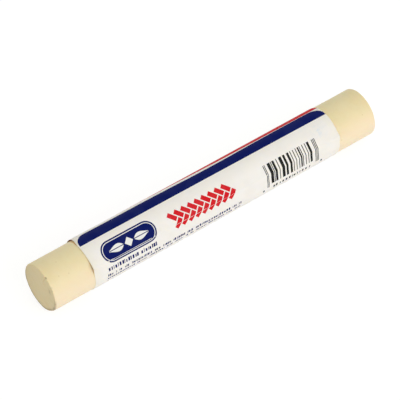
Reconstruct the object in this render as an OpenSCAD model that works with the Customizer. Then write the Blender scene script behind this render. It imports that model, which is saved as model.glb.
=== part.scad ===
// Furniture repair wax stick: a cast wax rod in a rolled paper label.
// The rod lies along X with its front end at -X, and the label rests on the plane Z = 0.

/* [Wax rod] */
// Diameter of the cast rod
wax_d = 15.9; // [10:0.1:30]
// Length of the rod from end face to end face
wax_length = 122.8; // [112:0.2:180]
// Rounding of the rim at the front end
front_rim_r = 0.4; // [0.1:0.1:2]
// Rounding of the rim at the rear end
rear_rim_r = 0.9; // [0.1:0.1:2]

/* [Paper label] */
// Length of the label along the rod
label_length = 93.8; // [40:0.2:105]
// Bare wax between the front end and the label
front_bare = 14.5; // [2:0.1:25]
// Thickness of the label paper
paper_t = 0.1; // [0.06:0.01:0.3]
// Gap between the wax and the paper, all round
slide_gap = 0.08; // [0.02:0.01:0.1]
// Width of the lapped seam, measured round the rod
lap_width = 14; // [3:0.1:20]
// Angle of the sheet's inner edge under the lap, from the top towards the front
inner_edge_angle = 66.8; // [10:0.1:120]

/* [Seam glue] */
// Thickness of the dried glue between the two layers of paper
glue_t = 0.04; // [0.02:0.01:0.1]
// Paper left dry at each edge of the lap
glue_margin = 0.5; // [0.2:0.1:1.2]

/* [Hidden] */
$fn = 96;

// Degrees of arc for a length measured round a circle
function arc_angle(length, r) = length / r * 180 / PI;

wax_r = wax_d / 2;
inner_r = wax_r + slide_gap;
outer_r = inner_r + paper_t;

// The outer layer of the lap rides on the inner layer and the glue
lap_rise = paper_t + glue_t;
lap_angle = arc_angle(lap_width, inner_r + lap_rise);
glue_margin_angle = arc_angle(glue_margin, outer_r);

// Past the inner edge the outer layer runs straight down to the rod, as taut paper does
bridge_angle = acos(inner_r / (inner_r + lap_rise));

// A point at radius r, at an angle round the rod
function polar(r, a) = [r * cos(a), r * sin(a)];

// Lays a shape built up along Z along the rod instead, from a place behind the front face.
// Angle 0 in the shape then points up, and 90 degrees points to the front.
module along_rod(start = 0) {
    translate([start - wax_length / 2, 0, outer_r])
        rotate([0, 90, 0])
        rotate([0, 0, 180])
        children();
}

// Curved strip of thickness t on a circle of radius r, from angle 0 through a span
module curved_strip(r, t, length, span) {
    rotate_extrude(angle = span)
        translate([r, 0])
        square([t, length]);
}

// Half section of the rod: a slab between the two rims, and a rounded rim at each end
module rod_section() {
    translate([0, front_rim_r])
        square([wax_r, wax_length - front_rim_r - rear_rim_r]);
    square([wax_r - front_rim_r, front_rim_r]);
    translate([wax_r - front_rim_r, front_rim_r])
        circle(r = front_rim_r);
    translate([0, wax_length - rear_rim_r])
        square([wax_r - rear_rim_r, rear_rim_r]);
    translate([wax_r - rear_rim_r, wax_length - rear_rim_r])
        circle(r = rear_rim_r);
}

// Cast wax rod with plain round ends
module wax_stick() {
    color([0.94, 0.87, 0.71])
        along_rod()
        rotate_extrude()
        rod_section();
}

// One sheet of paper: from its inner edge once round the rod, up over that edge, and on to its free edge
module label_sleeve() {
    color([0.94, 0.93, 0.91])
        along_rod(front_bare)
        rotate([0, 0, inner_edge_angle]) {
            rotate([0, 0, bridge_angle])
                curved_strip(inner_r, paper_t, label_length, 360 - bridge_angle);
            linear_extrude(height = label_length)
                polygon([
                    polar(inner_r, bridge_angle),
                    polar(outer_r, bridge_angle),
                    polar(outer_r + lap_rise, 0),
                    polar(inner_r + lap_rise, 0)
                ]);
            curved_strip(inner_r + lap_rise, paper_t, label_length, -lap_angle);
        }
}

// Film of dried glue between the two layers of the lap
module seam_glue() {
    color([0.90, 0.84, 0.62])
        along_rod(front_bare + glue_margin)
        rotate([0, 0, inner_edge_angle - glue_margin_angle])
        curved_strip(outer_r, glue_t, label_length - 2 * glue_margin,
                     2 * glue_margin_angle - lap_angle);
}

wax_stick();
label_sleeve();
seam_glue();
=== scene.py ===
# %% [markdown]
# # A stick of filler wax in its paper label
# The object is a cast rod of soft filler wax, as thick as a finger. A printed paper label is rolled once
# round it and glued to itself where it laps, so the label can be slid along the wax. The rod, the label
# and the glue come as a frame of exact solids. This lesson dresses them: the frame says where each piece is
# and how large, and every size below is worked out from it or given in millimetres. Only the room's own
# sizes are in metres.

# %% Load the frame
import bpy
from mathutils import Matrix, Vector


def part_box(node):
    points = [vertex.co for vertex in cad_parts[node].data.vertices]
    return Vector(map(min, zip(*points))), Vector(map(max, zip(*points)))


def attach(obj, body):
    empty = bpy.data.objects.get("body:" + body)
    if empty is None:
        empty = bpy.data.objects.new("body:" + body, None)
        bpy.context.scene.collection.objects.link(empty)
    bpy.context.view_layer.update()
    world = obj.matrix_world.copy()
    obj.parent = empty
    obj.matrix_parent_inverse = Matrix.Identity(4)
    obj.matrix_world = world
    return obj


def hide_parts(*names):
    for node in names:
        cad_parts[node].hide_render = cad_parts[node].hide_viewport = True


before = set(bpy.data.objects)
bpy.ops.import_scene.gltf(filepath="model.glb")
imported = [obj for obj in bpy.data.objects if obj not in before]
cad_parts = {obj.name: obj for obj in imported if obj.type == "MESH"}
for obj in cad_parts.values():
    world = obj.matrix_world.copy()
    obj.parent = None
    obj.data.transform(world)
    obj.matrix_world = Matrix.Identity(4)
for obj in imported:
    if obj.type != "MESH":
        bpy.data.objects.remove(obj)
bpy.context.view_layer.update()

# %% Sizes taken from the frame
import math

import bmesh
import bpy
from mathutils import Matrix, Vector, noise

MM = 0.001
scene = bpy.context.scene

rod_low, rod_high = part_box("wax_stick")
label_low, label_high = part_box("label_sleeve")
ROD_FRONT = rod_low.x
ROD_LENGTH = rod_high.x - rod_low.x
ROD_RADIUS = (rod_high.y - rod_low.y) / 2
AXIS_Z = (rod_low.z + rod_high.z) / 2
LABEL_FRONT = label_low.x
LABEL_LENGTH = label_high.x - label_low.x
LABEL_RADIUS = AXIS_Z - label_low.z
LAP_RISE = label_high.z - AXIS_Z - LABEL_RADIUS
print(f"rod {ROD_LENGTH / MM:.1f} mm long and {2 * ROD_RADIUS / MM:.1f} mm thick")
print(f"label {LABEL_LENGTH / MM:.1f} mm long, {LAP_RISE / MM:.2f} mm thicker at its lap")

# %% [markdown]
# ## The camera
# The stick lies on a table and is seen from above and from the front left, through a long lens that hardly
# makes the far end smaller. A camera could be turned by hand until the outlines agree. Here its right, up
# and forward directions are worked out from two angles, which keeps the horizon level.

# %% Camera
VIEW_AZIMUTH = math.radians(-37.2)
VIEW_ELEVATION = math.radians(46.8)
VIEW_DISTANCE = 869.8 * MM
VIEW_LENS = 255.9
AIM_RIGHT = -1.385 * MM
AIM_UP = -0.93 * MM

view_right = Vector((math.cos(VIEW_AZIMUTH), math.sin(VIEW_AZIMUTH), 0))
view_level = Vector((-math.sin(VIEW_AZIMUTH), math.cos(VIEW_AZIMUTH), 0))
view_forward = view_level * math.cos(VIEW_ELEVATION) - Vector((0, 0, math.sin(VIEW_ELEVATION)))
view_up = view_right.cross(view_forward)
stick_middle = Vector((ROD_FRONT + ROD_LENGTH / 2, 0, AXIS_Z))
aim = stick_middle + view_right * AIM_RIGHT + view_up * AIM_UP

camera = bpy.data.objects.new("camera", bpy.data.cameras.new("camera"))
camera.data.lens = VIEW_LENS
camera.data.clip_start = 10 * MM
camera.matrix_world = Matrix.Translation(aim - view_forward * VIEW_DISTANCE) @ Matrix(
    (view_right, view_up, -view_forward)).transposed().to_4x4()
scene.collection.objects.link(camera)
scene.camera = camera
print("camera at", [round(c / MM) for c in camera.location], "mm")

# %% [markdown]
# ## Working with node trees
# Both the finishes and the rolled label are built as node trees. A few short helpers keep them readable:
# one puts a node in a tree and fills its inputs, one does a step of arithmetic, one fades a value smoothly
# between two limits, one makes a smooth bump, and one starts a node group.

# %% Node helpers


def put(tree, kind, inputs=None, **settings):
    """Adds a node, sets its settings, and fills its inputs with values or links."""
    node = tree.nodes.new(kind)
    for name, value in settings.items():
        setattr(node, name, value)
    for socket, value in (inputs or {}).items():
        if isinstance(value, bpy.types.NodeSocket):
            tree.links.new(value, node.inputs[socket])
        else:
            node.inputs[socket].default_value = value
    return node


def calc(tree, operation, *values):
    """One step of arithmetic."""
    return put(tree, "ShaderNodeMath", dict(enumerate(values)), operation=operation).outputs[0]


def fade(tree, value, start, end, before=0.0, after=1.0):
    """A smooth change from one value to another between two limits."""
    inputs = dict(enumerate((value, start, end, before, after)))
    return put(tree, "ShaderNodeMapRange", inputs, interpolation_type="SMOOTHSTEP").outputs[0]


def hump(tree, value, middle, spread):
    """A smooth bump, 1 at its middle and near 0 beyond twice its spread."""
    steps = calc(tree, "DIVIDE", calc(tree, "SUBTRACT", value, middle), spread)
    return calc(tree, "EXPONENT", calc(tree, "MULTIPLY", calc(tree, "MULTIPLY", steps, steps), -1.0))


def new_group(kind, name, inputs, outputs):
    """An empty node group with named sockets, and its two end nodes."""
    tree = bpy.data.node_groups.new(name, kind)
    for socket, (socket_type, value) in inputs.items():
        made = tree.interface.new_socket(socket, in_out="INPUT", socket_type=socket_type)
        if value is not None:
            made.default_value = value
    for socket, socket_type in outputs.items():
        tree.interface.new_socket(socket, in_out="OUTPUT", socket_type=socket_type)
    return tree, tree.nodes.new("NodeGroupInput").outputs, tree.nodes.new("NodeGroupOutput")


NUMBER = "NodeSocketFloat"
WHOLE = "NodeSocketInt"
ARROW = "NodeSocketVector"
GEOMETRY = "NodeSocketGeometry"
FINISH = "NodeSocketMaterial"
print("node helpers ready")

# %% [markdown]
# ## Effects that several finishes share
# Cast wax, paper and print all vary a little from place to place. Three effects cover that: soft blotches
# of tone, a fine grain that stands up from the surface, and scattered pinholes. Each finish could have its
# own noise. As node groups the effects are built once, and every finish places them with its own scale.

# %% Shared effects
FINE_GRAIN_SHARE = 0.5
DOT_CORE = 0.4


def soft_blotches():
    """Cloudy patches: 0 in the troughs and 1 on the crests."""
    tree, given, end = new_group("ShaderNodeTree", "soft blotches", {
        "Place": (ARROW, None), "Scale": (NUMBER, 100.0), "Low": (NUMBER, 0.35), "High": (NUMBER, 0.65)},
        {"Mask": NUMBER})
    cloud = put(tree, "ShaderNodeTexNoise", {
        "Vector": given["Place"], "Scale": given["Scale"], "Detail": 3.0})
    tree.links.new(fade(tree, cloud.outputs["Fac"], given["Low"], given["High"]), end.inputs["Mask"])
    return tree


def fine_grain():
    """Height of a fine uneven surface, from two sizes of grain."""
    tree, given, end = new_group("ShaderNodeTree", "fine grain", {
        "Place": (ARROW, None), "Coarse scale": (NUMBER, 600.0), "Fine scale": (NUMBER, 2500.0)},
        {"Height": NUMBER})
    coarse = put(tree, "ShaderNodeTexNoise", {
        "Vector": given["Place"], "Scale": given["Coarse scale"], "Detail": 2.0})
    fine = put(tree, "ShaderNodeTexNoise", {
        "Vector": given["Place"], "Scale": given["Fine scale"], "Detail": 3.0})
    height = calc(tree, "MULTIPLY_ADD", fine.outputs["Fac"], FINE_GRAIN_SHARE, coarse.outputs["Fac"])
    tree.links.new(height, end.inputs["Height"])
    return tree


def pinholes():
    """Scattered dots: 1 inside a dot and 0 around it. Share leaves out most cells."""
    tree, given, end = new_group("ShaderNodeTree", "pinholes", {
        "Place": (ARROW, None), "Scale": (NUMBER, 500.0), "Size": (NUMBER, 0.2), "Share": (NUMBER, 0.2)},
        {"Mask": NUMBER})
    cells = put(tree, "ShaderNodeTexVoronoi", {"Vector": given["Place"], "Scale": given["Scale"]})
    core = calc(tree, "MULTIPLY", given["Size"], DOT_CORE)
    dot = fade(tree, cells.outputs["Distance"], core, given["Size"], 1.0, 0.0)
    draw = put(tree, "ShaderNodeSeparateColor", {"Color": cells.outputs["Color"]}).outputs["Red"]
    kept = calc(tree, "LESS_THAN", draw, given["Share"])
    tree.links.new(calc(tree, "MULTIPLY", dot, kept), end.inputs["Mask"])
    return tree


BLOTCHES = soft_blotches()
GRAIN = fine_grain()
PINHOLES = pinholes()
print("shared effects:", BLOTCHES.name, GRAIN.name, PINHOLES.name)

# %% Finish helpers
SPECK_CORE = 0.3


def effect(tree, group, place, **values):
    """Places a shared effect and gives its only output."""
    node = put(tree, "ShaderNodeGroup", node_tree=group)
    tree.links.new(place, node.inputs["Place"])
    for name, value in values.items():
        node.inputs[name.replace("_", " ").capitalize()].default_value = value
    return node.outputs[0]


def mixed(tree, mask, first, second):
    """A colour that goes from the first to the second where the mask is 1."""
    node = put(tree, "ShaderNodeMix", {0: mask, 6: first, 7: second}, data_type="RGBA")
    return node.outputs[2]


def scaled(tree, value, low, high):
    """A mask from 0 to 1 turned into a value between two others."""
    return put(tree, "ShaderNodeMapRange", {0: value, 3: low, 4: high}).outputs[0]


def specks(tree, place, spots, size):
    """Small round spots at given places: 1 inside any of them and 0 outside."""
    mask = 0.0
    for spot in spots:
        away = put(tree, "ShaderNodeVectorMath", {0: place, 1: spot}, operation="DISTANCE").outputs["Value"]
        mask = calc(tree, "MAXIMUM", mask, fade(tree, away, SPECK_CORE * size, size, 1.0, 0.0))
    return mask


def new_finish(name, **sockets):
    """A material with one Principled shader, whose constant values are set on it."""
    material = bpy.data.materials.new(name)
    material.use_nodes = True
    shader = material.node_tree.nodes["Principled BSDF"]
    for socket, value in sockets.items():
        shader.inputs[socket.replace("_", " ")].default_value = value
    place = put(material.node_tree, "ShaderNodeTexCoord").outputs["Object"]
    return material, material.node_tree, shader, place


def link_surface(tree, shader, colour, roughness, height, depth):
    """Joins colour, roughness and surface height to the shader. Depth is the height's real size."""
    bump = put(tree, "ShaderNodeBump", {"Height": height, "Distance": depth})
    tree.links.new(colour, shader.inputs["Base Color"])
    tree.links.new(roughness, shader.inputs["Roughness"])
    tree.links.new(bump.outputs["Normal"], shader.inputs["Normal"])


print("finish helpers ready")

# %% [markdown]
# ## The wax
# Filler wax is a soft, slightly see-through cream. Light goes a short way in, so its shadows are warm and
# its edges glow. Under the even colour there are faint clouds from the casting, and tiny pits from air
# bubbles. Painted light makes the sides paler low down, as if lit from the white table below, and painted
# shade makes the cut face darker and duller towards the back. A narrow ring under each end of the label is
# painted bright and warm, as light that comes through the paper into the gap, and brown at the back, as
# painted shade. A picture could be painted for all this. Masks that are worked out from the place on the
# rod need none, and they stay sharp from close by. The rod brings two values along for every point: "cut"
# says how far it faces the front, and "dirt_and_shade" how dark it is from the marks, the smudge and the
# painted shade on the front rim.

# %% Wax finish
WAX_CREAM = (0.83, 0.70, 0.405, 1)
WAX_PALE = (0.86, 0.74, 0.465, 1)
# WAX_PAINTED_UNDERLIGHT is painted light: the low sides are paler, as if lit from the white table below.
WAX_PAINTED_UNDERLIGHT = (0.945, 0.775, 0.55, 1)
WAX_PIT = (0.62, 0.46, 0.22, 1)
# WAX_DIRT_AND_SHADE darkens the deep marks, the smudge of dirt, and the painted shade on the front rim.
WAX_DIRT_AND_SHADE = (0.19, 0.115, 0.04, 1)
# WAX_PAINTED_GAP_GLOW and WAX_PAINTED_GAP_SHADE are painted light and painted shade in the gap under the
# label's ends.
WAX_PAINTED_GAP_GLOW = (0.99, 0.74, 0.36, 1)
WAX_PAINTED_GAP_SHADE = (0.73, 0.49, 0.21, 1)
WAX_CUT = (0.76, 0.612, 0.353, 1)
# WAX_CUT_SHADED is painted shade on the back of the cut face.
WAX_CUT_SHADED = (0.69, 0.545, 0.31, 1)
CLOUD_SHARE = 0.65
MOTTLE_SHARE = 0.35
PIT_TINT = 0.55
PIT_DEPTH = 1.5
SPECK_TINT = 0.4
SPECK_SIZE = 0.3 * MM
CUT_TONE = 0.8
CUT_SHADE_FROM = -1.0 * MM
CUT_SHADE_TO = 8.0 * MM
UNDERLIGHT_HIGH = 7.8 * MM
UNDERLIGHT_LOW = 1.0 * MM
GAP_GLOW_RISE = 0.1 * MM
GAP_GLOW_FULL = 0.5 * MM
GAP_GLOW_REACH = 1.0 * MM
GAP_SHADE_FROM = -2.0 * MM
GAP_SHADE_TO = 4.0 * MM

# Each speck: distance from the front end in mm, and angle from the top towards the front in degrees.
WAX_SPECKS = ((7.2, 39), (4.0, 34), (5.9, 3), (118.8, 47), (109.1, 77.5))


def on_rod(along, angle):
    """A place on the rod's side."""
    turn = math.radians(angle)
    return ROD_FRONT + along * MM, -ROD_RADIUS * math.sin(turn), AXIS_Z + ROD_RADIUS * math.cos(turn)


def painted_gap_light_on_wax(tree, axes, colour):
    """The wax's colour with painted light in a narrow ring under each end of the label, as light that comes
    through the paper into the gap, and painted brown shade at the back.
    """
    under_label = calc(tree, "MINIMUM", calc(tree, "SUBTRACT", axes[0], LABEL_FRONT),
                       calc(tree, "SUBTRACT", LABEL_FRONT + LABEL_LENGTH, axes[0]))
    gap_glow_ring = calc(tree, "MULTIPLY", fade(tree, under_label, 0.0, GAP_GLOW_RISE),
                   fade(tree, under_label, GAP_GLOW_FULL, GAP_GLOW_REACH, 1.0, 0.0))
    gap_tint = mixed(tree, fade(tree, axes[1], GAP_SHADE_FROM, GAP_SHADE_TO), WAX_PAINTED_GAP_GLOW, WAX_PAINTED_GAP_SHADE)
    return mixed(tree, gap_glow_ring, colour, gap_tint)


def wax_finish():
    """Cast filler wax: a satin cream with faint clouds and pits."""
    finish, tree, shader, place = new_finish(
        "filler wax", Subsurface_Weight=0.3, Subsurface_Radius=(1.0, 0.62, 0.30),
        Subsurface_Scale=0.6 * MM, Specular_IOR_Level=0.4)
    axes = put(tree, "ShaderNodeSeparateXYZ", {0: place}).outputs
    facing_front = put(tree, "ShaderNodeAttribute", attribute_name="cut").outputs["Fac"]
    dirt_and_shade = put(tree, "ShaderNodeAttribute", attribute_name="dirt_and_shade").outputs["Fac"]
    clouds = effect(tree, BLOTCHES, place, scale=110.0)
    mottle = effect(tree, BLOTCHES, place, scale=700.0, low=0.3, high=0.7)
    pits = effect(tree, PINHOLES, place, scale=420.0, size=0.16, share=0.1)
    spots = specks(tree, place, [on_rod(*speck) for speck in WAX_SPECKS], SPECK_SIZE)

    tone = calc(tree, "MULTIPLY_ADD", mottle, MOTTLE_SHARE, calc(tree, "MULTIPLY", clouds, CLOUD_SHARE))
    colour = mixed(tree, tone, WAX_CREAM, WAX_PALE)
    # Painted shade: the cut face turns darker towards the back.
    cut = mixed(tree, fade(tree, axes[1], CUT_SHADE_FROM, CUT_SHADE_TO), WAX_CUT, WAX_CUT_SHADED)
    colour = mixed(tree, calc(tree, "MULTIPLY", facing_front, CUT_TONE), colour, cut)
    side = calc(tree, "SUBTRACT", 1.0, facing_front)
    # Painted light: the sides turn paler low down, standing in for light that the white table throws up.
    painted_underlight = fade(tree, axes[2], AXIS_Z + UNDERLIGHT_LOW, AXIS_Z + UNDERLIGHT_HIGH, 1.0, 0.0)
    colour = mixed(tree, calc(tree, "MULTIPLY", side, painted_underlight), colour, WAX_PAINTED_UNDERLIGHT)
    # Painted light and shade in the gap under each end of the label.
    colour = painted_gap_light_on_wax(tree, axes, colour)
    colour = mixed(tree, calc(tree, "MULTIPLY", pits, PIT_TINT), colour, WAX_PIT)
    colour = mixed(tree, calc(tree, "MULTIPLY", spots, SPECK_TINT), colour, WAX_PIT)
    # Darkening in the deeper marks, dirt in the smudge, and painted shade along the front rim.
    dirt_and_shade_mix = calc(tree, "MULTIPLY", dirt_and_shade, scaled(tree, mottle, 0.6, 0.9))
    colour = mixed(tree, dirt_and_shade_mix, colour, WAX_DIRT_AND_SHADE)

    grain = effect(tree, GRAIN, place, coarse_scale=500.0, fine_scale=2200.0)
    height = calc(tree, "MULTIPLY_ADD", pits, -PIT_DEPTH, grain)
    link_surface(tree, shader, colour, scaled(tree, mottle, 0.44, 0.54), height, 0.02 * MM)
    return finish


WAX = wax_finish()
print("finish:", WAX.name)

# %% [markdown]
# ## The rod
# The rod is cast in a tube and cut off, then handled: its front rim has nicks, chips and a worn flat, and
# its rear rim is softer. A Screw modifier would turn a perfect rod, so this one is built ring by ring, and
# each point is pushed in, square to its own surface, wherever a mark lies. Marks are placed by their
# distance from the front end and their angle from the top of the stick towards the front. The deeper nicks
# and chips are darker, a thin line of painted shade lies along the back and bottom of the front rim, and
# dirt leaves a smudge on the cut face. What is only worn away keeps the wax's colour.

# %% Marks on the rod
FRONT_RIM = 0.3 * MM
REAR_RIM = 0.6 * MM

# Each mark, in mm and degrees: distance from the front end, angle, length along the rod, width round it
# and depth. The first kind is darker where it is deep, and the second kind keeps the wax's colour.
ROD_MARKS = {
    "front nick": (0.1, 24, 0.35, 0.40, 0.30),
    "front chip": (0.3, 49, 0.45, 0.5, 0.10),
    "chip beside it": (0.0, 57, 0.4, 0.5, 0.10),
    "low nick": (0.1, 94, 0.35, 0.4, 0.11),
    "low nick beside it": (0.0, 113, 0.35, 0.6, 0.11),
}
RIM_WEAR = {
    "worn flat": (0.0, 139, 0.6, 1.9, 0.26),
    "dent behind the top": (0.0, -70, 0.7, 1.8, 0.1),
}
DARK_MARK_DEPTH = 0.22 * MM
PLAIN_MARK_DEPTH = 0.25 * DARK_MARK_DEPTH
DARKEST_SHARE = 0.72
DARKENED_ZONE = 2 * FRONT_RIM
# The front rim's painted shade: where round the rim it lies, how strong it is and how wide.
RIM_SHADE_FROM = math.radians(75)
RIM_SHADE_TO = math.radians(300)
RIM_SHADE_FADE = math.radians(40)
RIM_SHADE = 0.9
RIM_SHADE_WIDTH = 0.55 * MM

# The smudge on the cut face: distance from the middle, angle, size across and round, and share of dirt.
SMUDGE = (5.7 * MM, math.radians(61.7), 0.4 * MM, 0.9 * MM, 0.4)


def mark_depth(kind, along, round_angle):
    """How far marks of one kind push the surface in at a place on the rod."""
    depth = 0.0
    for at, angle, length, width, deep in kind.values():
        turn = (round_angle - math.radians(angle) + math.pi) % (2 * math.pi) - math.pi
        across = turn * ROD_RADIUS / (width * MM)
        beside = (along - at * MM) / (length * MM)
        depth += deep * MM * math.exp(-across ** 2 - beside ** 2)
    return depth


def dirt_and_shade_share(along, radius, out, angle):
    """How dark a place is: deep in a mark, under painted shade on the back and bottom of the front rim, or
    in the smudge of dirt.
    """
    dirt_and_shade = 0.0
    if radius > ROD_RADIUS - DARKENED_ZONE:
        dirt_and_shade += max(0.0, mark_depth(ROD_MARKS, along, angle) - PLAIN_MARK_DEPTH) / DARK_MARK_DEPTH
    # Painted shade: the back and bottom of the front rim face away from the light, so a thin dark line is
    # painted there.
    if RIM_SHADE_FROM < angle < RIM_SHADE_TO and along < DARKENED_ZONE:
        ends = min(1.0, min(angle - RIM_SHADE_FROM, RIM_SHADE_TO - angle) / RIM_SHADE_FADE)
        beside = ROD_RADIUS - FRONT_RIM / 2 - radius if out[0] < 0 else along
        dirt_and_shade += RIM_SHADE * ends * math.exp(-(beside / RIM_SHADE_WIDTH) ** 2)
    if out == (-1, 0):
        smudge_radius, smudge_angle, wide, long, share = SMUDGE
        across = (radius - smudge_radius) / wide
        round_it = (angle - smudge_angle) * radius / long
        dirt_and_shade += share * math.exp(-across ** 2 - round_it ** 2)
    return min(DARKEST_SHARE, dirt_and_shade)


print(len(ROD_MARKS) + len(RIM_WEAR), "marks on the rod")

# %% Rod mesh
ROD_SIDES = 360
FACE_RINGS = 30
RIM_RINGS = 8
SIDE_STEP = 1.0 * MM
FINE_STEP = 0.2 * MM
FINE_REACH = 1.6 * MM
CAST_WAVE = 0.02 * MM
CAST_WAVE_LENGTH = 6 * MM
CUT_WAVE = 0.06 * MM
CUT_WAVE_LENGTH = 1.5 * MM
CUT_WAVE_SUNK = 0.6
MARK_RADIUS = 0.7 * ROD_RADIUS
MARK_FADE = 4
CUT_FADE = 3


def rod_outline():
    """Half section of the rod: distance from the front, radius, and the direction that faces out."""
    flat_front = ROD_RADIUS - FRONT_RIM
    flat_rear = ROD_RADIUS - REAR_RIM
    outline = [(0.0, flat_front * i / FACE_RINGS, (-1, 0)) for i in range(1, FACE_RINGS)]
    for i in range(RIM_RINGS + 1):
        turn = math.pi / 2 * i / RIM_RINGS
        out = (-math.cos(turn), math.sin(turn))
        outline.append((FRONT_RIM * (1 + out[0]), flat_front + FRONT_RIM * out[1], out))
    fine = round(FINE_REACH / FINE_STEP)
    outline += [(FRONT_RIM + FINE_STEP * i, ROD_RADIUS, (0, 1)) for i in range(1, fine)]
    straight = ROD_LENGTH - FRONT_RIM - FINE_REACH - REAR_RIM
    count = round(straight / SIDE_STEP)
    outline += [(FRONT_RIM + FINE_REACH + straight * i / count, ROD_RADIUS, (0, 1)) for i in range(count)]
    for i in range(RIM_RINGS + 1):
        turn = math.pi / 2 * i / RIM_RINGS
        out = (math.sin(turn), math.cos(turn))
        outline.append((ROD_LENGTH - REAR_RIM * (1 - out[0]), flat_rear + REAR_RIM * out[1], out))
    outline += [(ROD_LENGTH, flat_rear * i / FACE_RINGS, (1, 0)) for i in range(FACE_RINGS - 1, 0, -1)]
    return outline


def rod_point(along, radius, out, angle):
    """A point of the worn rod, from its place on the perfect one. Marks fade towards a face's middle."""
    perfect = Vector((along, radius * math.sin(angle), radius * math.cos(angle)))
    wave = noise.noise(perfect / CAST_WAVE_LENGTH) * CAST_WAVE
    if abs(out[0]) > 0.5:
        wave = (noise.noise(perfect / CUT_WAVE_LENGTH) - CUT_WAVE_SUNK) * CUT_WAVE * abs(out[0])
    marked = mark_depth(ROD_MARKS, along, angle) + mark_depth(RIM_WEAR, along, angle)
    depth = marked * min(1.0, radius / MARK_RADIUS) ** MARK_FADE - wave
    along -= out[0] * depth
    radius -= out[1] * depth
    return Vector((ROD_FRONT + along, -radius * math.sin(angle), AXIS_Z + radius * math.cos(angle)))


def rod_mesh():
    """Rings of points from the front middle to the rear middle, closed by a fan at each end."""
    mesh = bmesh.new()
    dirt_and_shade = mesh.verts.layers.float.new("dirt_and_shade")
    cut = mesh.verts.layers.float.new("cut")
    rings = []
    for place in rod_outline():
        ring = []
        for angle in (2 * math.pi * i / ROD_SIDES for i in range(ROD_SIDES)):
            point = mesh.verts.new(rod_point(*place, angle))
            point[dirt_and_shade] = dirt_and_shade_share(*place, angle)
            point[cut] = max(0.0, -place[2][0]) ** CUT_FADE
            ring.append(point)
        rings.append(ring)
    front = mesh.verts.new((ROD_FRONT, 0, AXIS_Z))
    front[cut] = 1.0
    rear = mesh.verts.new((ROD_FRONT + ROD_LENGTH, 0, AXIS_Z))
    for i in range(ROD_SIDES):
        j = (i + 1) % ROD_SIDES
        mesh.faces.new((front, rings[0][i], rings[0][j]))
        mesh.faces.new((rear, rings[-1][j], rings[-1][i]))
        for near, far in zip(rings, rings[1:]):
            mesh.faces.new((near[i], far[i], far[j], near[j]))
    bmesh.ops.recalc_face_normals(mesh, faces=mesh.faces)
    return mesh


def link(piece):
    """Puts a piece in the scene."""
    scene.collection.objects.link(piece)
    return piece


def smooth(piece):
    """Shades a piece smooth, apart from corners sharper than 50 degrees."""
    piece.data.shade_smooth()
    piece.data.set_sharp_from_angle(angle=math.radians(50))
    return piece


def as_object(name, mesh, finish):
    """A finished piece from a built mesh, shaded smooth with crisp corners."""
    data = bpy.data.meshes.new(name)
    mesh.to_mesh(data)
    mesh.free()
    data.materials.append(finish)
    return smooth(link(bpy.data.objects.new(name, data)))


rod = as_object("cast_wax_rod", rod_mesh(), WAX)
print(rod.name, len(rod.data.polygons), "faces")

# %% [markdown]
# ## Rolling flat paper
# The label is printed flat and then rolled, so it is modelled the same way. A flat place on the sheet has
# three numbers: the distance from the front edge, the distance round the rod from the top line, and the
# height above the paper's face. The sheet starts at its free edge behind the top line, runs down the front,
# once round, and in under its own free edge. A Simple Deform modifier could bend it, but it knows nothing
# of a lap. Here one node group turns a flat place into its place on the stick. It also holds what makes the
# paper look like paper: the step down past the inner edge, the crease that this edge presses into the layer
# above it, the looseness at the back, the places where the ends of the label stand off the wax, the ends
# themselves, worn thin and pressed flat, the corner that was cut short behind the top line, and a slight
# ripple. Everything that is printed goes through the same group, so the print follows every bend.

# %% The roll
INNER_EDGE = math.radians(66.8)
LAP_WIDTH = 14.0 * MM
PAPER_THICK = 0.1 * MM
TIGHT_RADIUS = LABEL_RADIUS - PAPER_THICK
LAP_ANGLE = LAP_WIDTH / (TIGHT_RADIUS + LAP_RISE)
SHEET_START = (INNER_EDGE - LAP_ANGLE) * LABEL_RADIUS
SHEET_END = (INNER_EDGE + 2 * math.pi) * LABEL_RADIUS

ROLL_SIZES = {
    "Front edge": LABEL_FRONT,
    "Axis height": AXIS_Z,
    "Outside radius": LABEL_RADIUS,
    "Length": LABEL_LENGTH,
    "Inner edge": INNER_EDGE,
    "Lap rise": LAP_RISE,
    "Looseness": 0.13 * MM,
    "Back lift": 0.14 * MM,
    "Back reach": 15.0 * MM,
    "Crease height": 0.40 * MM,
    "Front lift": 0.36 * MM,
    "Rear lift": 0.30 * MM,
    "Edge reach": 7.0 * MM,
    "Corner cut": 0.8 * MM,
    "Grip": 0.05 * MM,
    "Ripple": 0.025 * MM,
    "Edge wear": 0.4 * MM,
}
EDGE_WORN_OFF = 0.7
EDGE_LAP_RISE = 0.25
BACK_LIFT_AT = math.radians(-50)
BACK_LIFT_SPREAD = math.radians(32)
LIFT_FRONT = math.radians(50)
LIFT_SPREAD = math.radians(12)
CREASE_FRONT = math.radians(57)
CREASE_REAR = math.radians(63)
CORNER_CUT_BETWEEN = math.radians(-40), math.radians(0)
TIGHT_BEHIND = math.radians(-125), math.radians(-90)
TIGHT_BELOW = math.radians(115), math.radians(150)
RIPPLE_SCALE = 110.0


def taut(tree, given, height, aside):
    """Height of paper that runs straight down from a line it rests on: full on it, none at the tangent."""
    resting = calc(tree, "ADD", given["Outside radius"], height)
    reach = calc(tree, "ARCCOSINE", calc(tree, "DIVIDE", given["Outside radius"], resting))
    left = calc(tree, "MAXIMUM", calc(tree, "SUBTRACT", reach, aside), 0.0)
    left = calc(tree, "MINIMUM", left, reach)
    stretch = calc(tree, "SUBTRACT", calc(tree, "DIVIDE", 1.0, calc(tree, "COSINE", left)), 1.0)
    return calc(tree, "MULTIPLY", stretch, given["Outside radius"])


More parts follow.
